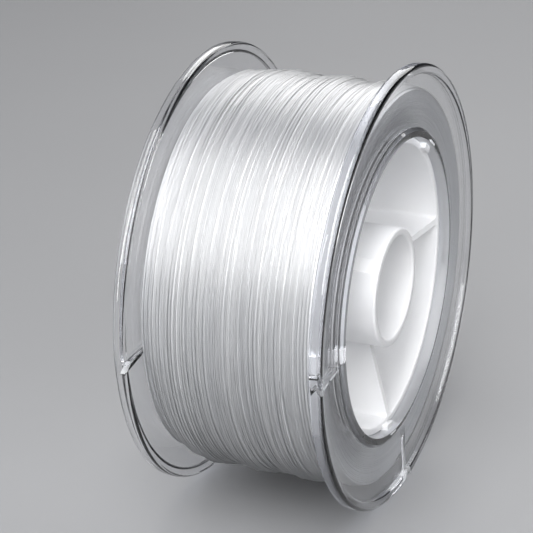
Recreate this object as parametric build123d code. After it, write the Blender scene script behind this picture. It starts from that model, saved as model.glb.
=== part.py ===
from build123d import *
import os
from math import cos, radians, sin

# A clear plastic spool of monofilament fishing line. The spool axis is Y, the
# origin is on that axis at mid-width, and Z is up: the spool stands on the rims
# of its two flanges. Millimetres throughout. "Front" is the +Y side.

# ---- driving dimensions
FLANGE_R = 40.0           # outer radius of both flanges
HALF_WIDTH = 18.8         # centre to the outer plane of a flange's rim bead
RIM_WIDTH = 2.3           # axial width of the rim bead
RIM_INNER_R = 38.2        # where the rim bead meets the flange web
WEB_RECESS = 0.95         # web face below the bead's outer plane
COLLAR_R = 28.6           # outer radius of the raised collar around the bore
COLLAR_RECESS = 0.45      # collar face below the bead's outer plane
BORE_R = 26.9             # bore of the clear barrel
BARREL_R = 28.4           # outside of the clear barrel that carries the line
LAP_LENGTH = 4.0          # spigot that joins the two clear halves
LAP_R = 27.6              # outer radius of that spigot
LAP_GAP = 0.05            # radial clearance round the spigot

INSERT_R = 26.85          # outside of the white insert
INSERT_WALL = 1.35
INSERT_RECESS = 2.45      # insert rim below the bead's outer plane
HUB_BORE_R = 9.3
HUB_R = 10.75
HUB_RECESS = 1.5          # hub tube's end below the bead's outer plane
RIB_THICKNESS = 1.2
RIB_ANGLES = (-91.0, 40.5, 172.0)
RIB_HUB_RECESS = 6.3      # rib edge below the bead's outer plane, at the hub

KEY_ANGLES = (-4.0, -86.0, 127.0)
KEY_WIDTH = 2.6           # keys of the insert, seated in notches of the collar
KEY_R = 27.7
KEY_LENGTH = 1.6
NOTCH_CLEARANCE = 0.2

LINE_D = 0.31             # nominal diameter of the nylon line
BEND_R = 0.28             # where an end of the line turns into hole or nick
WINDING_R = 35.8
WINDING_EDGE_R = 35.3     # where it meets the front flange
WINDING_END_R = 33.2      # where it meets the rear flange, rounded off
WINDING_SIDE_GAP = 0.02

SLIT_WIDTH = 0.8
MOUTH_R = 37.9            # where slit and nick begin to flare towards the rim
SLIT_MOUTH = (0.4, 2.3)   # half widths of the flare at the rim, low angle side first
SLIT_ANGLE = -97.8
SLIT_R = 31.5             # how far in the slit reaches
NICK_MOUTH = (1.4, 1.0)
NICK_ANGLE = -6.6
NICK_R = 37.4             # how far in the nick in the rear rim's inner corner reaches
NICK_DEPTH = 1.1          # along the axis, so the rim's outer side stays whole
ANCHOR_ANGLE = -6.6       # hole through which the inner end of the line comes out
ANCHOR_R = 29.5
ANCHOR_HOLE_R = 0.45

WEB_OUT = HALF_WIDTH - WEB_RECESS
WEB_IN = HALF_WIDTH - RIM_WIDTH
LINE_R = LINE_D / 2


def on_face(radius, angle, y):
    """A point given by its radius and angle about the spool axis, and its y."""
    return (radius * cos(radians(angle)), y, radius * sin(radians(angle)))


def turned(*profile):
    """A solid turned about the spool axis from (radius, y) points."""
    return revolve(make_face(Polyline(*profile, close=True)), Axis.Y)


def circles(solid, radius, y):
    """The circular edges of a turned solid at one radius and one y."""
    return [
        edge
        for edge in solid.edges().filter_by(GeomType.CIRCLE)
        if abs(edge.radius - radius) < 0.01 and abs(edge.arc_center.Y - y) < 0.01
    ]


def radial_block(inner_r, outer_r, width, y_low, y_high, angle):
    """A block that points outwards from the spool axis at an angle."""
    block = Box(outer_r - inner_r, y_high - y_low, width)
    block = Pos((inner_r + outer_r) / 2, (y_low + y_high) / 2, 0) * block
    return Rot(0, -angle, 0) * block


def slit(inner_r, angle, mouth, depth):
    """A radial slit into web and rim from inside, on the +Y side, flared where it leaves the rim."""
    half = SLIT_WIDTH / 2
    low, high = mouth
    reach = FLANGE_R + 1
    lower = [(inner_r, -half), (MOUTH_R, -half), (FLANGE_R, -low), (reach, -low)]
    upper = [(reach, high), (FLANGE_R, high), (MOUTH_R, half), (inner_r, half)]
    face = Plane.XZ * make_face(Polyline(*lower, *upper, close=True))
    cut = Pos(0, WEB_IN, 0) * extrude(face, depth, both=True)
    return Rot(0, -angle, 0) * cut


def notches():
    """The keyways that the insert's keys drop into, at the front end of the bore."""
    width = KEY_WIDTH + 2 * NOTCH_CLEARANCE
    bottom = HALF_WIDTH - INSERT_RECESS - NOTCH_CLEARANCE
    outer = KEY_R + NOTCH_CLEARANCE
    cuts = [radial_block(BORE_R - 1, outer, width, bottom, HALF_WIDTH, a) for a in KEY_ANGLES]
    return Part() + cuts


def flange(barrel_end):
    """A flange with its rim bead, web, collar and barrel, on the +Y side."""
    collar_top = HALF_WIDTH - COLLAR_RECESS
    solid = turned(
        (BORE_R, collar_top),
        (COLLAR_R - 0.5, collar_top),
        (COLLAR_R, WEB_OUT),
        (RIM_INNER_R, WEB_OUT),
        (RIM_INNER_R, HALF_WIDTH),
        (FLANGE_R, HALF_WIDTH),
        (FLANGE_R, WEB_IN),
        (BARREL_R, WEB_IN),
        (BARREL_R, barrel_end),
        (BORE_R, barrel_end),
    )
    solid = fillet(circles(solid, FLANGE_R, HALF_WIDTH) + circles(solid, FLANGE_R, WEB_IN), 0.7)
    solid = fillet(circles(solid, RIM_INNER_R, HALF_WIDTH), 0.4)
    return fillet(circles(solid, BORE_R, collar_top), 0.25)


def front_flange():
    """Front half: its barrel ends in a socket, and it carries slit and anchor hole."""
    solid = flange(barrel_end=0.0)
    socket = turned(
        (BORE_R - 1, -1), (LAP_R + LAP_GAP, -1), (LAP_R + LAP_GAP, LAP_LENGTH), (BORE_R - 1, LAP_LENGTH)
    )
    hole = Location(on_face(ANCHOR_R, ANCHOR_ANGLE, WEB_OUT), (90, 0, 0)) * Cylinder(ANCHOR_HOLE_R, 6)
    through = slit(SLIT_R, SLIT_ANGLE, SLIT_MOUTH, RIM_WIDTH + 1)
    return solid - socket - through - hole - notches()


def rear_flange():
    """Rear half: its barrel ends in the spigot, and a nick in its rim takes the line."""
    spigot = turned(
        (BORE_R, 1), (BORE_R, -LAP_LENGTH), (LAP_R, -LAP_LENGTH), (LAP_R, 1)
    )
    solid = flange(barrel_end=0.0) + spigot
    return mirror(solid - slit(NICK_R, NICK_ANGLE, NICK_MOUTH, NICK_DEPTH), about=Plane.XZ)


def hub_insert():
    """White insert: outer sleeve, hub tube, sloping-edged ribs and keys."""
    end = HALF_WIDTH - INSERT_RECESS
    inner_r = INSERT_R - INSERT_WALL
    sleeve = turned((inner_r, -end), (INSERT_R, -end), (INSERT_R, end), (inner_r, end))
    hub_end = HALF_WIDTH - HUB_RECESS
    hub = turned((HUB_BORE_R, -hub_end), (HUB_R, -hub_end), (HUB_R, hub_end), (HUB_BORE_R, hub_end))
    for y in (-hub_end, hub_end):
        hub = fillet(circles(hub, HUB_R, y) + circles(hub, HUB_BORE_R, y), 0.45)
    root = HUB_R - 0.6
    tip = inner_r + 0.6
    edge = HALF_WIDTH - RIB_HUB_RECESS
    outline = Polyline((root, -edge), (tip, -end), (tip, end), (root, edge), close=True)
    rib = extrude(make_face(outline), RIB_THICKNESS / 2, both=True)
    solid = sleeve + hub
    for angle in RIB_ANGLES:
        solid += Rot(0, -angle, 0) * rib
    for angle in KEY_ANGLES:
        solid += radial_block(inner_r + 0.4, KEY_R, KEY_WIDTH, end - 0.05, end + KEY_LENGTH - 0.6, angle)
    return solid


def line_winding():
    """The wound line as one solid, rounded off towards the rear flange."""
    front = WEB_IN - WINDING_SIDE_GAP
    rear = -front
    inner = BARREL_R + 0.01
    sides = Polyline((WINDING_END_R, rear), (inner, rear), (inner, front), (WINDING_EDGE_R, front))
    edge = ThreePointArc((WINDING_EDGE_R, front), (WINDING_R - 0.12, front - 0.35), (WINDING_R, front - 1.2))
    crown = Line((WINDING_R, front - 1.2), (WINDING_R, -7))
    shoulder = ThreePointArc((WINDING_R, -7), (WINDING_R - 0.55, -12.2), (WINDING_END_R, rear))
    return revolve(make_face(sides + edge + crown + shoulder), Axis.Y)


def strand(*points):
    """A length of line along straight runs joined by arcs."""
    path = FilletPolyline(*points, radius=BEND_R)
    section = Plane(origin=path @ 0, z_dir=path % 0) * Circle(LINE_R)
    return sweep(section, path=path)


def line_inner_end():
    """The inner end of the line: out of the anchor hole, then along the web."""
    rest = WEB_OUT + LINE_R + 0.01
    return strand(
        on_face(ANCHOR_R, ANCHOR_ANGLE, WEB_IN + 0.02),
        on_face(ANCHOR_R, ANCHOR_ANGLE, rest),
        on_face(RIM_INNER_R - 0.6, ANCHOR_ANGLE, rest),
    )


def line_outer_end():
    """The outer end of the line: off the winding, along the web, into the nick."""
    rest = -(WEB_IN - LINE_R - 0.01)
    return strand(
        on_face(WINDING_END_R + 0.3, NICK_ANGLE, rest),
        on_face(FLANGE_R - 0.7, NICK_ANGLE, rest),
        on_face(FLANGE_R - 0.7, NICK_ANGLE, 0.2 - WEB_IN - NICK_DEPTH),
    )


NODES = {
    "front_flange": front_flange,
    "rear_flange": rear_flange,
    "hub_insert": hub_insert,
    "line_winding": line_winding,
    "line_inner_end": line_inner_end,
    "line_outer_end": line_outer_end,
}

os.makedirs("parts", exist_ok=True)
for name, make in NODES.items():
    solid = make()
    print(name, "volume", round(solid.volume, 1), "valid", solid.is_valid)
    export_step(solid, f"parts/{name}.step")
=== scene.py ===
from math import acos, cos, pi, radians, sin, tau

import bpy
import numpy as np
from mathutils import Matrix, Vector


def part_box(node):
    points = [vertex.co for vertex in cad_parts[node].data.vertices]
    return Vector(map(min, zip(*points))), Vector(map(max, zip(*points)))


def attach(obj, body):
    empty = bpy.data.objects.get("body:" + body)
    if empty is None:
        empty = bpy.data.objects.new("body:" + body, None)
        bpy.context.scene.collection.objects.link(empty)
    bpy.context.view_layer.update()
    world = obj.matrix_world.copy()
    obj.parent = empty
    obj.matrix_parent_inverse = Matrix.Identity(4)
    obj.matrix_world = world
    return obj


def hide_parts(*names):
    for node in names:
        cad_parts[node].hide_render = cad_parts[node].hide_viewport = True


# The looks of a clear spool of nylon fishing line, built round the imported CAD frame.
# The spool axis is Y and the front is +Y. Lengths are metres; MM turns millimetres into them.
# Angles about the axis are in degrees, from +X towards +Z.

MM = 0.001
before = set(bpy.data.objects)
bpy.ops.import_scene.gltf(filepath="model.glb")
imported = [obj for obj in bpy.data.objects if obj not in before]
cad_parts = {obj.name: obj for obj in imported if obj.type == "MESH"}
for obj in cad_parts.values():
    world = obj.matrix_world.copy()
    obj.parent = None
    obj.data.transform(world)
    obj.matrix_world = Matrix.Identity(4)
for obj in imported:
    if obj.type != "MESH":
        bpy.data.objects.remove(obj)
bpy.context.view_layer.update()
rng = np.random.default_rng(7)

# ---- sizes, from the frame where it has them
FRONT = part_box("front_flange")
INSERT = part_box("hub_insert")
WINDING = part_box("line_winding")
FLANGE_R = FRONT[1].x
HALF_WIDTH = FRONT[1].y
HUB_END = INSERT[1].y
WINDING_R = WINDING[1].x
SIDE_GAP = 0.02 * MM                   # between the winding and a flange's web
WEB_IN = WINDING[1].y + SIDE_GAP       # inner face of the web
WEB_OUT = HALF_WIDTH - 0.95 * MM       # outer face of the web
RIM_WIDTH = 2.3 * MM                   # axial width of the rim bead
RIM_INNER_R = 38.2 * MM
COLLAR_R = 28.6 * MM
COLLAR_SLOPE = 0.5 * MM                # how far the collar's outer wall leans in
COLLAR_TOP = HALF_WIDTH - 0.45 * MM
BORE_R = 26.9 * MM
BARREL_R = 28.4 * MM
BARREL_GAP = 0.02 * MM                 # between the barrel and the line on it
LAP_R = 27.6 * MM                      # the spigot that joins the two clear halves
LAP_GAP = 0.05 * MM
LAP_LENGTH = 4.0 * MM

INSERT_R = 26.85 * MM
INSERT_INNER_R = INSERT_R - 1.35 * MM
INSERT_END = HALF_WIDTH - 2.45 * MM
INSERT_LIP = 0.3 * MM                  # rounding of the sleeve's ends
HUB_BORE_R = 9.3 * MM
HUB_R = 10.75 * MM
HUB_EDGE = 0.45 * MM                   # rounding of the hub tube's ends
RIB_THICKNESS = 1.2 * MM
RIB_ANGLES = (-91.0, 40.5, 172.0)
RIB_HUB_END = HALF_WIDTH - 6.3 * MM    # where a rib's sloping edge meets the hub
RIB_FLARE = 0.9 * MM                   # radius of the fillets where a rib meets hub and sleeve
KEY_ANGLES = (-4.0, -86.0, 127.0)
KEY_WIDTH = 2.6 * MM
KEY_R = 27.7 * MM
KEY_START = INSERT_END - 0.6 * MM
KEY_END = INSERT_END + 1.0 * MM
NOTCH_CLEARANCE = 0.2 * MM

SLIT_WIDTH = 0.8 * MM
MOUTH_R = 37.9 * MM                    # where slit and nick begin to flare towards the rim
SLIT_MOUTH = (0.4 * MM, 2.3 * MM)      # half widths of the flare, low angle side first
SLIT_ANGLE, SLIT_R = -97.8, 31.5 * MM
NICK_MOUTH = (1.4 * MM, 1.0 * MM)
NICK_ANGLE, NICK_R = -6.6, 37.4 * MM
NICK_DEPTH = 1.1 * MM                  # along the axis, so the rim's outer side stays whole
ANCHOR_ANGLE, ANCHOR_R, ANCHOR_HOLE_R = -6.6, 29.5 * MM, 0.45 * MM
SLACK = 1 * MM                         # how far a cutting shape reaches past what it cuts
ROUND_STEPS = 384                      # facets round the big turned parts
HUB_STEPS = 256

# ---- the wound line
LINE_R = 0.155 * MM
REST_GAP = 0.01 * MM                   # between a loose end and the web that it lies on
TURN_STEPS = 240                       # places along one turn
PITCHES = (0.42 * MM, 0.33 * MM)       # of the two outer passes across the spool
WANDERS = ((30, 0.03 * MM), (110, 0.08 * MM))    # sideways drift: steps, size
TONE_DRIFTS = ((90, 0.2), (900, 0.15))           # of the shade: steps, size
MOST_STEPS = 16000                     # of the line in one piece
HALF_SPAN = WEB_IN - SIDE_GAP
COLUMN = 0.05 * MM                     # one column of the height map
COLUMNS = int(2 * HALF_SPAN / COLUMN) + 1
COLUMN_Y = np.linspace(-HALF_SPAN, HALF_SPAN, COLUMNS)
BASE_DEPTH = 0.62 * MM                 # of the line that the outer passes lie on, under the crown
BUNDLES = (                            # waves of the surface: height, width, lanes round, phase
    (0.26 * MM, 9.3 * MM, 1, radians(93)),
    (0.04 * MM, 2.9 * MM, 2, radians(40)),
    (0.04 * MM, 4.3 * MM, -1, radians(200)),
)
LUMPS_ROUND = 6                        # slow lumps of the surface in one turn
LUMPS_ACROSS = (30, 0.02 * MM)         # their width in columns, and their size
CORE_DEPTH = 0.13 * MM                 # how far the core lies under the outer turns' tops
CORE_EVERY = 3                         # columns of the height map to one of the core
SIDE_STEPS = 200
SIDE_PITCH = 2 * LINE_R * 1.01
SIDE_SWAY = 0.025 * MM                 # of a turn at a flange, in and out
SIDE_DEPTH = 0.04 * MM                 # and away from the flange
FRONT_SIDE_R = 35.2 * MM
REAR_SIDE_R = 33.0 * MM


# ---- camera, lights and surroundings
def direction(azimuth, elevation):
    """Unit vector from the spool towards a point seen at this azimuth and elevation."""
    a, e = radians(azimuth), radians(elevation)
    return Vector((sin(a) * cos(e), -cos(a) * cos(e), sin(e)))


def aim(obj, azimuth, elevation, distance):
    """Puts a camera or light at a place round the spool, looking at its centre."""
    obj.location = direction(azimuth, elevation) * distance
    obj.rotation_euler = obj.location.to_track_quat("Z", "Y").to_euler()


def make_camera():
    """A long lens that looks down a little on the front face and the winding."""
    data = bpy.data.cameras.new("camera")
    data.sensor_width = 36.0
    data.lens = 153.5
    data.shift_x = -0.0722
    data.shift_y = 0.0135
    data.clip_start = 0.01
    camera = bpy.data.objects.new("camera", data)
    bpy.context.scene.collection.objects.link(camera)
    aim(camera, 112.05, 22.1, 0.409)
    bpy.context.scene.camera = camera


def softbox(name, azimuth, elevation, distance, width, height, power):
    """A white rectangular light, aimed at the spool."""
    data = bpy.data.lights.new(name, "AREA")
    data.shape = "RECTANGLE"
    data.size = width
    data.size_y = height
    data.energy = power
    light = bpy.data.objects.new(name, data)
    bpy.context.scene.collection.objects.link(light)
    aim(light, azimuth, elevation, distance)


def studio_world():
    """Soft grey surroundings: paler low down and darker overhead, so that clear edges show."""
    world = bpy.data.worlds.new("studio")
    bpy.context.scene.world = world
    world.use_nodes = True
    nodes, links = world.node_tree.nodes, world.node_tree.links
    background = nodes["Background"]
    where = nodes.new("ShaderNodeTexCoord")
    split = nodes.new("ShaderNodeSeparateXYZ")
    ramp = nodes.new("ShaderNodeValToRGB")
    links.new(where.outputs["Generated"], split.inputs[0])
    links.new(split.outputs["Z"], ramp.inputs[0])
    links.new(ramp.outputs["Color"], background.inputs["Color"])
    ramp.color_ramp.elements[0].position = 0.0
    ramp.color_ramp.elements[0].color = (0.07, 0.072, 0.08, 1)
    ramp.color_ramp.elements[1].position = 0.55
    ramp.color_ramp.elements[1].color = (0.04, 0.04, 0.05, 1)
    background.inputs["Strength"].default_value = 1.0


# ---- materials
def material(name, **sockets):
    """A Principled material with constants set on the shader's own sockets."""
    made = bpy.data.materials.new(name)
    made.use_nodes = True
    shader = made.node_tree.nodes["Principled BSDF"]
    for socket, value in sockets.items():
        shader.inputs[socket.replace("_", " ")].default_value = value
    return made, made.node_tree.nodes, made.node_tree.links, shader


def noise(nodes, links, scale, detail=3.0, stretch=(1, 1, 1)):
    """A noise texture in object space, stretched along the axes."""
    where = nodes.new("ShaderNodeTexCoord")
    mapping = nodes.new("ShaderNodeMapping")
    mapping.inputs["Scale"].default_value = stretch
    texture = nodes.new("ShaderNodeTexNoise")
    texture.inputs["Scale"].default_value = scale
    texture.inputs["Detail"].default_value = detail
    links.new(where.outputs["Object"], mapping.inputs["Vector"])
    links.new(mapping.outputs["Vector"], texture.inputs["Vector"])
    return texture.outputs["Fac"]


def mesh_value(nodes, name):
    """A value that the mesh itself carries, by its name."""
    value = nodes.new("ShaderNodeAttribute")
    value.attribute_name = name
    return value.outputs["Fac"]


def spread(nodes, links, value, low, high):
    """Maps a 0 to 1 value onto low to high."""
    node = nodes.new("ShaderNodeMapRange")
    node.inputs["To Min"].default_value = low
    node.inputs["To Max"].default_value = high
    links.new(value, node.inputs["Value"])
    return node.outputs["Result"]


def colour_between(nodes, links, value, dark, light):
    """Blends two colours by a 0 to 1 value."""
    node = nodes.new("ShaderNodeValToRGB")
    node.color_ramp.elements[0].position = 0.3
    node.color_ramp.elements[0].color = (*dark, 1)
    node.color_ramp.elements[1].position = 0.7
    node.color_ramp.elements[1].color = (*light, 1)
    links.new(value, node.inputs["Fac"])
    return node.outputs["Color"]


def bump(nodes, links, shader, value, strength, distance):
    """Raises a shader's surface by a 0 to 1 value."""
    node = nodes.new("ShaderNodeBump")
    node.inputs["Strength"].default_value = strength
    node.inputs["Distance"].default_value = distance
    links.new(value, node.inputs["Height"])
    links.new(node.outputs["Normal"], shader.inputs["Normal"])


def two_shaders(nodes, links, share, first, second):
    """Mixes two surface shaders, by the share of the second."""
    mix = nodes.new("ShaderNodeMixShader")
    links.new(share, mix.inputs["Fac"])
    links.new(first, mix.inputs[1])
    links.new(second, mix.inputs[2])
    return mix.outputs["Shader"]


def clear_plastic():
    """Moulded clear styrene: faint flow waves, handling haze, and light shines through it."""
    made, nodes, links, shader = material(
        "clear_plastic", Transmission_Weight=1.0, IOR=1.57, Specular_IOR_Level=0.5
    )
    waves = noise(nodes, links, 220.0, 2.0, (1, 0.3, 1))
    haze = noise(nodes, links, 900.0, 4.0)
    frost = mesh_value(nodes, "frost")
    colour = colour_between(nodes, links, waves, (0.955, 0.962, 0.975), (0.985, 0.988, 0.992))
    links.new(colour, shader.inputs["Base Color"])
    rough = nodes.new("ShaderNodeMix")
    rough.inputs["B"].default_value = 0.45
    links.new(frost, rough.inputs["Factor"])
    links.new(spread(nodes, links, haze, 0.015, 0.06), rough.inputs["A"])
    links.new(rough.outputs["Result"], shader.inputs["Roughness"])
    bump(nodes, links, shader, waves, 0.12, 0.02 * MM)
    milky = nodes.new("ShaderNodeBsdfDiffuse")
    milky.inputs["Color"].default_value = (0.80, 0.81, 0.83, 1)
    through = nodes.new("ShaderNodeBsdfTransparent")
    through.inputs["Color"].default_value = (0.90, 0.91, 0.93, 1)
    milkiness = spread(nodes, links, frost, 0.0, 0.35)
    satin = two_shaders(nodes, links, milkiness, shader.outputs["BSDF"], milky.outputs["BSDF"])
    shadow = nodes.new("ShaderNodeLightPath").outputs["Is Shadow Ray"]
    surface = two_shaders(nodes, links, shadow, satin, through.outputs["BSDF"])
    links.new(surface, nodes["Material Output"].inputs["Surface"])
    tint = nodes.new("ShaderNodeVolumeAbsorption")
    tint.inputs["Color"].default_value = (0.50, 0.52, 0.60, 1)
    tint.inputs["Density"].default_value = 22.0
    links.new(tint.outputs["Volume"], nodes["Material Output"].inputs["Volume"])
    return made


def white_plastic():
    """Glossy white moulding with a fine satin grain."""
    made, nodes, links, shader = material(
        "white_plastic", IOR=1.5, Coat_Weight=0.15, Coat_Roughness=0.12
    )
    tone = noise(nodes, links, 60.0, 3.0)
    grain = noise(nodes, links, 2600.0, 2.0)
    colour = colour_between(nodes, links, tone, (0.84, 0.845, 0.86), (0.89, 0.893, 0.90))
    links.new(colour, shader.inputs["Base Color"])
    links.new(spread(nodes, links, grain, 0.28, 0.42), shader.inputs["Roughness"])
    bump(nodes, links, shader, grain, 0.15, 0.02 * MM)
    return made


def nylon_line(
    name, see_through, white=0.45, rough=(0.34, 0.46), sheen=1.0, evenness=0.0, facing=(1, 0, 1)
):
    """Clear nylon in bulk: pale and silky, its shade drifting along the line."""
    made, nodes, links, shader = material(
        name,
        IOR=1.6,
        Transmission_Weight=see_through,
        Specular_IOR_Level=0.8,
        Coat_Weight=sheen,
        Coat_IOR=2.3,
        Coat_Roughness=0.38,
    )
    dark = (white - 0.05, white - 0.04, white - 0.02)
    light = (white + 0.05, white + 0.06, white + 0.075)
    colour = colour_between(nodes, links, mesh_value(nodes, "tone"), dark, light)
    links.new(colour, shader.inputs["Base Color"])
    fine = noise(nodes, links, 1500.0, 2.0)
    links.new(spread(nodes, links, fine, *rough), shader.inputs["Roughness"])
    if evenness:
        normal = evened_normal(nodes, links, evenness, facing)
        links.new(normal, shader.inputs["Normal"])
        links.new(normal, shader.inputs["Coat Normal"])
    return made


def evened_normal(nodes, links, evenness, facing):
    """The surface normal leaned towards the winding's own, as light spreads between clear turns."""
    shape = nodes.new("ShaderNodeNewGeometry")
    flat = nodes.new("ShaderNodeVectorMath")
    flat.operation = "MULTIPLY"
    flat.inputs[1].default_value = facing
    outwards = nodes.new("ShaderNodeVectorMath")
    outwards.operation = "NORMALIZE"
    blend = nodes.new("ShaderNodeMix")
    blend.data_type = "VECTOR"
    blend.inputs["Factor"].default_value = evenness
    unit = nodes.new("ShaderNodeVectorMath")
    unit.operation = "NORMALIZE"
    links.new(shape.outputs["Position"], flat.inputs[0])
    links.new(flat.outputs[0], outwards.inputs[0])
    links.new(shape.outputs["Normal"], blend.inputs[4])
    links.new(outwards.outputs[0], blend.inputs[5])
    links.new(blend.outputs[1], unit.inputs[0])
    return unit.outputs[0]


def floor_paint():
    """Matt grey that renders pale under the studio lights."""
    made, nodes, links, shader = material("floor_paint", Roughness=0.55)
    tone = noise(nodes, links, 3.0, 4.0)
    colour = colour_between(nodes, links, tone, (0.22, 0.222, 0.228), (0.24, 0.242, 0.248))
    links.new(colour, shader.inputs["Base Color"])
    return made


# ---- mesh helpers
def mesh_object(name, verts, faces, paint, smooth_angle=32.0):
    """A mesh object from arrays, shaded smooth up to an angle."""
    mesh = bpy.data.meshes.new(name)
    mesh.from_pydata([tuple(v) for v in verts], [], [tuple(f) for f in faces])
    mesh.materials.append(paint)
    mesh.polygons.foreach_set("use_smooth", [True] * len(mesh.polygons))
    mesh.set_sharp_from_angle(angle=radians(smooth_angle))
    mesh.update()
    made = bpy.data.objects.new(name, mesh)
    bpy.context.scene.collection.objects.link(made)
    return made


def set_tones(made, tones):
    """Gives each vertex of a line its shade: 0 is dark and 1 is light."""
    layer = made.data.attributes.new("tone", "FLOAT", "POINT")
    layer.data.foreach_set("value", tones.astype(np.float32))


def rounded(corners, steps=6):
    """A closed (radius, y) outline from (radius, y, fillet) corners."""
    outline = []
    count = len(corners)
    for i, (r, y, fillet) in enumerate(corners):
        here = np.array((r, y))
        if fillet <= 0:
            outline.append(here)
            continue
        back = np.array(corners[i - 1][:2]) - here
        ahead = np.array(corners[(i + 1) % count][:2]) - here
        back /= np.linalg.norm(back)
        ahead /= np.linalg.norm(ahead)
        half = acos(np.clip(back @ ahead, -1, 1)) / 2
        centre = here + (back + ahead) / np.linalg.norm(back + ahead) * fillet / sin(half)
        start = here + back * fillet / np.tan(half) - centre
        end = here + ahead * fillet / np.tan(half) - centre
        sweep = acos(np.clip(start @ end / fillet**2, -1, 1))
        for k in range(steps + 1):
            t = k / steps
            arm = (start * sin((1 - t) * sweep) + end * sin(t * sweep)) / sin(sweep)
            outline.append(centre + arm)
    return outline


def lathe(name, outline, paint, steps=ROUND_STEPS):
    """A ring turned about the spool axis from a closed (radius, y) outline."""
    outline = np.array(outline)
    x, y = outline[:, 0], outline[:, 1]
    if np.sum(x * np.roll(y, -1) - np.roll(x, -1) * y) < 0:
        outline = outline[::-1]
    angles = np.arange(steps) * tau / steps
    n = len(outline)
    verts = [(r * cos(a), y, r * sin(a)) for a in angles for r, y in outline]
    faces = [
        (i * n + j, i * n + (j + 1) % n, (i + 1) % steps * n + (j + 1) % n, (i + 1) % steps * n + j)
        for i in range(steps)
        for j in range(n)
    ]
    return mesh_object(name, verts, faces, paint)


def polar(radius, angle, y):
    """A point given by its radius and angle about the spool axis, and its y."""
    a = radians(angle)
    return Vector((radius * cos(a), y, radius * sin(a)))


def out_and_across(angle):
    """Unit vectors away from the spool axis at an angle, and across, towards higher angles."""
    out = polar(1.0, angle, 0.0)
    return out, Vector((-out.z, 0.0, out.x))


def block(name, inner_r, outer_r, width, y_low, y_high, angle, paint):
    """A block that points outwards from the spool axis at an angle."""
    out, across = out_and_across(angle)
    verts = [
        out * r + across * s * width / 2 + Vector((0, y, 0))
        for r in (inner_r, outer_r)
        for s in (-1, 1)
        for y in (y_low, y_high)
    ]
    faces = [(0, 1, 3, 2), (4, 6, 7, 5), (0, 4, 5, 1), (2, 3, 7, 6), (0, 2, 6, 4), (1, 5, 7, 3)]
    return mesh_object(name, verts, faces, paint)


def prism_faces(n):
    """The faces between two loops of n points each, and one over each loop."""
    ends = [tuple(range(n)), tuple(range(2 * n - 1, n - 1, -1))]
    return ends + [(i, i + n, (i + 1) % n + n, (i + 1) % n) for i in range(n)]


def tube(name, path, radius, paint, sides=6, closed=False, tones=None):
    """A tube along a path of points, closed or capped; tones colours it along its length."""
    path = np.array([tuple(p) for p in path], float)
    count = len(path)
    if closed:
        along = np.roll(path, -1, 0) - np.roll(path, 1, 0)
    else:
        along = np.gradient(path, axis=0)
    along /= np.linalg.norm(along, axis=1)[:, None]
    spin = np.cross(along, path * (1, 0, 1))
    if np.linalg.norm(spin, axis=1).min() < 1e-9:
        spin = np.cross(along, np.array((0.3, 0.2, 0.9)))
    spin /= np.linalg.norm(spin, axis=1)[:, None]
    up = np.cross(spin, along)
    turn = np.arange(sides) * tau / sides
    ring = np.stack([np.cos(turn), np.sin(turn)], -1)
    verts = path[:, None] + radius * (ring[None, :, :1] * up[:, None] + ring[None, :, 1:] * spin[:, None])
    verts = verts.reshape(-1, 3)
    rows = np.arange(count if closed else count - 1)
    i, j = np.meshgrid(rows, np.arange(sides), indexing="ij")
    after = (i + 1) % count
    beside = (j + 1) % sides
    faces = np.stack([i * sides + j, i * sides + beside, after * sides + beside, after * sides + j], -1)
    faces = [tuple(f) for f in faces.reshape(-1, 4)]
    if not closed:
        faces.append(tuple(range(sides - 1, -1, -1)))
        faces.append(tuple(range((count - 1) * sides, count * sides)))
    made = mesh_object(name, verts, faces, paint, 60.0)
    if tones is not None:
        set_tones(made, np.repeat(tones, sides))
    return made


def apply_boolean(target, tools, operation):
    """Cuts or joins the tools into the target and removes them."""
    for tool in tools:
        modifier = target.modifiers.new("boolean", "BOOLEAN")
        modifier.operation = operation
        modifier.solver = "EXACT"
        modifier.object = tool
    bpy.context.view_layer.update()
    evaluated = target.evaluated_get(bpy.context.evaluated_depsgraph_get())
    mesh = bpy.data.meshes.new_from_object(evaluated)
    target.modifiers.clear()
    target.data = mesh
    for tool in tools:
        bpy.data.objects.remove(tool)


def join(pieces, name):
    """Joins mesh objects into the first of them."""
    first = pieces[0]
    with bpy.context.temp_override(active_object=first, selected_editable_objects=pieces, object=first):
        bpy.ops.object.join()
    first.name = name
    return first


def finish_piece(piece, slot, *nodes):
    """Every piece rides on the spool's one body and stands for its CAD nodes."""
    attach(piece, "root")
    if nodes:
        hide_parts(*nodes)


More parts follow.
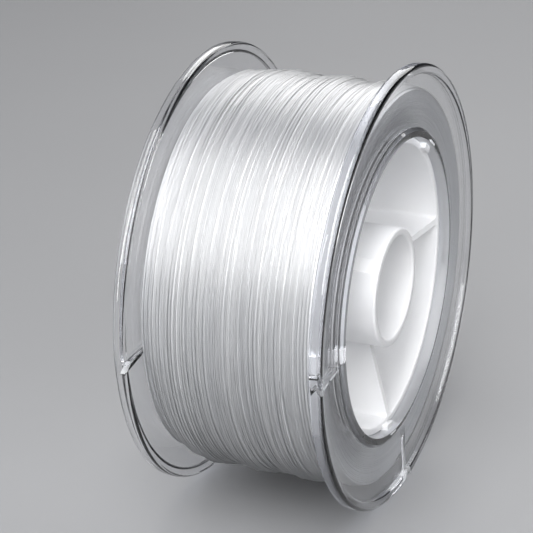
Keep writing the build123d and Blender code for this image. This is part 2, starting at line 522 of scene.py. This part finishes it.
# ---- the two clear halves
def clear_half(name, socket):
    """Rim bead, web, collar and barrel: the front half if it has the socket, else the rear one."""
    bead = [
        (RIM_INNER_R, WEB_OUT, 0.18 * MM),
        (RIM_INNER_R, HALF_WIDTH, 0.4 * MM),
        (FLANGE_R, HALF_WIDTH, 0.7 * MM),
        (FLANGE_R, HALF_WIDTH - RIM_WIDTH, 0.7 * MM),
    ]
    inside = [(BARREL_R, HALF_WIDTH - RIM_WIDTH, 0.15 * MM)]
    if socket:
        lap = LAP_R + LAP_GAP
        end = [(BARREL_R, 0, 0), (lap, 0, 0), (lap, LAP_LENGTH, 0), (BORE_R, LAP_LENGTH, 0)]
    else:
        end = [(BARREL_R, 0, 0), (LAP_R, 0, 0), (LAP_R, -LAP_LENGTH, 0), (BORE_R, -LAP_LENGTH, 0)]
    collar = [
        (BORE_R, COLLAR_TOP, 0.25 * MM),
        (COLLAR_R - COLLAR_SLOPE, COLLAR_TOP, 0.15 * MM),
        (COLLAR_R, WEB_OUT, 0.1 * MM),
    ]
    outline = rounded(bead + inside + end + collar)
    if not socket:
        outline = [(r, -y) for r, y in outline]
    return lathe(name, outline, CLEAR)


def slit_block(inner_r, angle, mouth, y_low, y_high):
    """The shape of slit or nick: narrow at first, flared where it leaves the rim."""
    half = SLIT_WIDTH / 2
    reach = 1 + 2 * SLACK / (FLANGE_R - MOUTH_R)
    low, high = (half + (wide - half) * reach for wide in mouth)
    far = MOUTH_R + (FLANGE_R - MOUTH_R) * reach
    lower = [(inner_r, -half), (MOUTH_R, -half), (far, -low)]
    upper = [(far, high), (MOUTH_R, half), (inner_r, half)]
    loop = lower + upper
    out, across = out_and_across(angle)
    verts = [out * r + across * w + Vector((0, y, 0)) for y in (y_low, y_high) for r, w in loop]
    return mesh_object("slit", verts, prism_faces(len(loop)), CLEAR)


def frost_cuts(half):
    """Marks the walls of slit and nick as frosted, and the bore as satin."""
    frosted, satin, clear = 1.0, 0.6, 0.0
    mesh = half.data
    frost = mesh.attributes.new("frost", "FLOAT", "FACE")
    for face in mesh.polygons:
        around = Vector((-face.center.z, 0.0, face.center.x))
        radius = around.length
        cut = radius > SLIT_R - SLACK and abs(face.normal.dot(around)) > 0.6 * radius
        inwards = -face.normal.dot(Vector((face.center.x, 0.0, face.center.z))) / radius
        bore = radius < LAP_R and inwards > 0.7
        frost.data[face.index].value = frosted if cut else satin if bore else clear


def front_half():
    """The front half, with its slit, its anchor hole and the notches for the insert's keys."""
    half = clear_half("clear_front_half", socket=True)
    slit = slit_block(SLIT_R, SLIT_ANGLE, SLIT_MOUTH, WEB_IN - SLACK, HALF_WIDTH + SLACK)
    outer = KEY_R + NOTCH_CLEARANCE
    width = KEY_WIDTH + 2 * NOTCH_CLEARANCE
    low = INSERT_END - NOTCH_CLEARANCE
    notches = [
        block("notch", BORE_R - SLACK, outer, width, low, HALF_WIDTH, angle, CLEAR)
        for angle in KEY_ANGLES
    ]
    through = [polar(ANCHOR_R, ANCHOR_ANGLE, y) for y in (WEB_IN - 2 * SLACK, WEB_OUT + 2 * SLACK)]
    hole = tube("hole", through, ANCHOR_HOLE_R, CLEAR, sides=24)
    apply_boolean(half, [slit, hole, *notches], "DIFFERENCE")
    frost_cuts(half)
    finish_piece(half, "clear_plastic", "front_flange")


def rear_half():
    """The rear half, with the nick that takes the outer end of the line."""
    half = clear_half("clear_rear_half", socket=False)
    nick = slit_block(NICK_R, NICK_ANGLE, NICK_MOUTH, -WEB_IN - NICK_DEPTH, SLACK - WEB_IN)
    apply_boolean(half, [nick], "DIFFERENCE")
    frost_cuts(half)
    finish_piece(half, "clear_plastic", "rear_flange")


# ---- the white insert
def rib(angle):
    """One rib: its ends flare into the hub and the sleeve, its edges slope in to the hub."""
    sink = 0.05 * MM
    bite = 0.5 * MM
    inner, outer = HUB_R - bite, INSERT_INNER_R + bite
    bends = np.linspace(0.25, pi / 2, 7)
    curve = [(RIB_FLARE * (1 - cos(t)) - sink, RIB_FLARE * (1 - sin(t))) for t in bends]
    near = [(HUB_R + r, w) for r, w in curve]
    far = [(INSERT_INNER_R - r, w) for r, w in reversed(curve)]
    half = [(inner, near[0][1]), *near, *far, (outer, far[-1][1])]
    upper = [(r, RIB_THICKNESS / 2 + w) for r, w in half]
    lower = [(r, -w) for r, w in reversed(upper)]
    loop = upper + lower
    out, across = out_and_across(angle)
    slope = (INSERT_END - RIB_HUB_END) / (outer - HUB_R)
    highest = INSERT_END - 0.02 * MM
    verts = []
    for sign in (-1, 1):
        for r, w in loop:
            end = RIB_HUB_END + slope * (r - HUB_R)
            verts.append(out * r + across * w + Vector((0, sign * min(end, highest), 0)))
    return mesh_object("rib", verts, prism_faces(len(loop)), WHITE)


def white_insert():
    """Sleeve, hub tube, ribs and keys as one moulding."""
    sleeve = lathe("white_hub_insert", rounded([
        (INSERT_INNER_R, -INSERT_END, INSERT_LIP), (INSERT_R, -INSERT_END, INSERT_LIP),
        (INSERT_R, INSERT_END, INSERT_LIP), (INSERT_INNER_R, INSERT_END, INSERT_LIP),
    ]), WHITE)
    hub = lathe("hub", rounded([
        (HUB_BORE_R, -HUB_END, HUB_EDGE), (HUB_R, -HUB_END, HUB_EDGE),
        (HUB_R, HUB_END, HUB_EDGE), (HUB_BORE_R, HUB_END, HUB_EDGE),
    ]), WHITE, HUB_STEPS)
    ribs = [rib(angle) for angle in RIB_ANGLES]
    root = INSERT_INNER_R + 0.4 * MM
    keys = [
        block("key", root, KEY_R, KEY_WIDTH, KEY_START, KEY_END, angle, WHITE)
        for angle in KEY_ANGLES
    ]
    apply_boolean(sleeve, [hub, *ribs, *keys], "UNION")
    finish_piece(sleeve, "white_plastic", "hub_insert")


# ---- the winding: turns laid one after another over a height map, as a winder lays them
def smooth_noise(count, step, amplitude):
    """Random values every so many samples, joined smoothly."""
    knots = rng.normal(0, amplitude, count // step + 4)
    at = np.arange(count) / step
    i = at.astype(int)
    t = at - i
    t = t * t * (3 - 2 * t)
    return knots[i] * (1 - t) + knots[i + 1] * t


def crown(y):
    """The winding's outer radius: level, and falling away towards both flanges."""
    shoulder, edge = 8 * MM, 1.2 * MM
    level, rear_fall, front_fall = WINDING_R - 0.18 * MM, 2.2 * MM, 0.4 * MM
    rear = np.clip((-shoulder - y) / (HALF_SPAN - shoulder), 0, 1)
    front = np.clip((y - (HALF_SPAN - edge)) / edge, 0, 1)
    return level - rear_fall * rear**2.1 - front_fall * front**2


def traverse(pitches):
    """Places across the spool, one per step, of a line that goes to and fro."""
    limit = HALF_SPAN - LINE_R
    at, way, places = -limit, 1, []
    for pitch in pitches:
        while abs(at) <= limit + 1e-9:
            places.append(at)
            at += way * pitch / TURN_STEPS
        at = way * limit
        way = -way
    return np.array(places)


def taut(radii):
    """The tightest line over these radii: no part bends outwards more than a straight run."""
    step = tau / TURN_STEPS
    lift = 0.5 * WINDING_R * (np.arange(len(radii)) * step) ** 2
    level = radii - lift
    hull = []
    for i, value in enumerate(level):
        while len(hull) > 1:
            (a, va), (b, vb) = hull[-2], hull[-1]
            if (vb - va) * (i - a) <= (value - va) * (b - a):
                hull.pop()
            else:
                break
        hull.append((i, value))
    at, values = zip(*hull)
    return np.interp(np.arange(len(radii)), at, values) + lift


def base_height():
    """The height map that the outer passes are laid on: the crown with its waves and lumps."""
    height = np.tile(crown(COLUMN_Y) - BASE_DEPTH, (TURN_STEPS, 1))
    round_angle = np.arange(TURN_STEPS)[:, None] * tau / TURN_STEPS
    for size, length, lanes, start in BUNDLES:
        height += size * np.cos(tau * COLUMN_Y / length + lanes * round_angle + start)
    slow = np.array([smooth_noise(COLUMNS, *LUMPS_ACROSS) for _ in range(LUMPS_ROUND)])
    for s in range(TURN_STEPS):
        at = s / TURN_STEPS * LUMPS_ROUND
        i = int(at)
        height[s] += slow[i] * (1 - at + i) + slow[(i + 1) % LUMPS_ROUND] * (at - i)
    return height


def wind(places):
    """Lays the line on the height map turn by turn: its radius at each step, and the map."""
    height = base_height()
    reach = int(LINE_R / COLUMN)
    offsets = np.arange(-reach, reach + 1)
    profile = np.sqrt(np.maximum(LINE_R**2 - (offsets * COLUMN) ** 2, 0))
    radii = np.zeros(len(places))
    for begin in range(0, len(places), TURN_STEPS):
        end = min(begin + TURN_STEPS, len(places))
        rows = np.arange(begin, end) % TURN_STEPS
        middle = np.round((places[begin:end] + HALF_SPAN) / COLUMN).astype(int)
        middle = np.clip(middle, reach, COLUMNS - 1 - reach)
        cells = middle[:, None] + offsets
        support = (height[rows[:, None], cells] + profile).max(1)
        if begin:
            support[0] = max(support[0], radii[begin - 1])
        laid = taut(support)
        radii[begin:end] = laid
        top = laid[:, None] + profile
        height[rows[:, None], cells] = np.maximum(height[rows[:, None], cells], top)
    return radii, height


def winding():
    """The two outer passes of the line, cut into pieces; gives back the height map."""
    places = traverse(PITCHES)
    count = len(places)
    wander = sum(smooth_noise(count, *drift) for drift in WANDERS)
    limit = HALF_SPAN - LINE_R
    places = np.clip(places + wander, -limit, limit)
    radii, height = wind(places)
    angles = np.arange(count) * tau / TURN_STEPS
    path = np.stack([radii * np.cos(angles), places, radii * np.sin(angles)], -1)
    tones = 0.5 + sum(smooth_noise(count, *drift) for drift in TONE_DRIFTS)
    parts = int(np.ceil(count / MOST_STEPS))
    for k in range(parts):
        a, b = k * count // parts, min((k + 1) * count // parts + 1, count)
        piece = tube(f"line_turns_{k + 1}", path[a:b], LINE_R, NYLON, tones=tones[a:b])
        finish_piece(piece, "nylon_line", "line_winding")
    return height


def winding_core(height):
    """The line just under the outer turns, seen between them: it follows their surface."""
    reach = 2 * CORE_EVERY
    window = np.ones(2 * reach + 1) / (2 * reach + 1)
    level = np.array([np.convolve(np.pad(row, reach, "edge"), window, "valid") for row in height])
    level = (level[:, ::CORE_EVERY] - CORE_DEPTH)[:, 1:-1]
    y = COLUMN_Y[::CORE_EVERY][1:-1]
    low = np.full((TURN_STEPS, 1), BARREL_R + BARREL_GAP)
    radius = np.hstack([low, level, low])
    across = np.concatenate([y[:1], y, y[-1:]])
    angle = np.arange(TURN_STEPS)[:, None] * tau / TURN_STEPS
    verts = np.stack([radius * np.cos(angle), across + 0 * radius, radius * np.sin(angle)], -1)
    n = radius.shape[1]
    i, j = np.meshgrid(np.arange(TURN_STEPS), np.arange(n), indexing="ij")
    ahead, beside = (i + 1) % TURN_STEPS, (j + 1) % n
    faces = np.stack([i * n + j, i * n + beside, ahead * n + beside, ahead * n + j], -1)
    core = mesh_object("line_core", verts.reshape(-1, 3), faces.reshape(-1, 4), CORE, 50.0)
    set_tones(core, np.full(len(core.data.vertices), 0.45))
    finish_piece(core, "nylon_line")


def side_turns(name, side, outer_r):
    """The turns that lie against one flange, seen through its web."""
    pieces = []
    angles = np.arange(SIDE_STEPS) * tau / SIDE_STEPS
    for radius in np.arange(BARREL_R + LINE_R + BARREL_GAP, outer_r, SIDE_PITCH):
        sway = sum(
            rng.normal(0, SIDE_SWAY) * np.sin(k * angles + rng.uniform(0, tau)) for k in (1, 2, 3, 5)
        )
        depth = abs(sum(
            rng.normal(0, SIDE_DEPTH) * np.sin(k * angles + rng.uniform(0, tau)) for k in (1, 2, 4)
        ))
        r = radius + sway
        y = side * (HALF_SPAN - LINE_R - depth)
        path = np.stack([r * np.cos(angles), y, r * np.sin(angles)], -1)
        tones = 0.5 + 0.3 * np.sin(angles * 2 + rng.uniform(0, tau)) + rng.normal(0, 0.2)
        pieces.append(tube(name, path, LINE_R, SIDE_NYLON, closed=True, tones=tones))
    joined = join(pieces, name)
    finish_piece(joined, "nylon_line")


# ---- the two ends of the line
def line_end(name, node, points):
    """A cut end of the line along smooth points: each pass rounds the corners off further."""
    path = np.array([tuple(p) for p in points])
    for _ in range(3):
        near = path[:-1] * 0.75 + path[1:] * 0.25
        far = path[:-1] * 0.25 + path[1:] * 0.75
        middle = np.stack([near, far], 1).reshape(-1, 3)
        path = np.vstack([path[:1], middle[1:-1], path[-1:]])
    tail = tube(name, path, LINE_R, CLEAR_NYLON, sides=16, tones=np.full(len(path), 0.8))
    finish_piece(tail, "nylon_line", node)


def inner_end():
    """Out of the anchor hole and along the front web to the foot of the rim bead."""
    rest = WEB_OUT + LINE_R + REST_GAP
    line_end("inner_tail", "line_inner_end", [
        polar(ANCHOR_R, ANCHOR_ANGLE, WEB_IN + SIDE_GAP),
        polar(ANCHOR_R, ANCHOR_ANGLE, rest - 0.3 * MM),
        polar(ANCHOR_R + 0.1 * MM, ANCHOR_ANGLE, rest),
        polar(ANCHOR_R + 1.0 * MM, ANCHOR_ANGLE, rest),
        polar(RIM_INNER_R - 3.0 * MM, ANCHOR_ANGLE + 0.1, rest),
        polar(RIM_INNER_R - 0.6 * MM, ANCHOR_ANGLE - 0.2, rest),
    ])


def outer_end():
    """Off the winding, along the rear web and into the nick."""
    rest = -(WEB_IN - LINE_R - REST_GAP)
    line_end("outer_tail", "line_outer_end", [
        polar(33.5 * MM, NICK_ANGLE, rest),
        polar(36.0 * MM, NICK_ANGLE + 0.2, rest),
        polar(FLANGE_R - 1.0 * MM, NICK_ANGLE, rest),
        polar(FLANGE_R - 0.7 * MM, NICK_ANGLE, rest - 0.3 * MM),
        polar(FLANGE_R - 0.7 * MM, NICK_ANGLE, 0.2 * MM - WEB_IN - NICK_DEPTH),
    ])


def floor():
    """A plain floor that the rims stand on."""
    side = 3.0
    verts = [(x * side, y * side, -FLANGE_R) for x, y in ((-1, -1), (1, -1), (1, 1), (-1, 1))]
    made = mesh_object("floor", verts, [(0, 1, 2, 3)], floor_paint())


# ---- the scene; a softbox is given by azimuth, elevation, distance, width, height and power
make_camera()
studio_world()
bpy.context.scene.view_settings.view_transform = "Standard"
softbox("key", 94, 50, 0.65, 0.34, 0.90, 7.9)
softbox("front_fill", 138, 26, 0.70, 0.60, 0.60, 2.7)
softbox("back_fill", 272, 38, 0.80, 0.70, 0.60, 4.0)
softbox("side_fill", 12, 30, 0.80, 0.60, 0.50, 2.2)
softbox("rim_strip", 62, 18, 0.60, 0.03, 0.50, 0.4)

CLEAR = clear_plastic()
WHITE = white_plastic()
NYLON = nylon_line("nylon_line", 0.45, evenness=0.88)
# Painted light: the turns against the flanges are a slightly paler copy of the same line (white 0.48
# against 0.45), making up for light that the clear web takes away.
SIDE_NYLON = nylon_line("nylon_side", 0.45, white=0.48, evenness=0.3, facing=(0, 1, 0))
CLEAR_NYLON = nylon_line("clear_nylon", 0.95, white=0.9, rough=(0.03, 0.08), sheen=0.0)
CORE = nylon_line("nylon_core", 0.0, white=0.50)

front_half()
rear_half()
white_insert()
winding_core(winding())
side_turns("line_side_front", 1, FRONT_SIDE_R)
side_turns("line_side_rear", -1, REAR_SIDE_R)
inner_end()
outer_end()
floor()
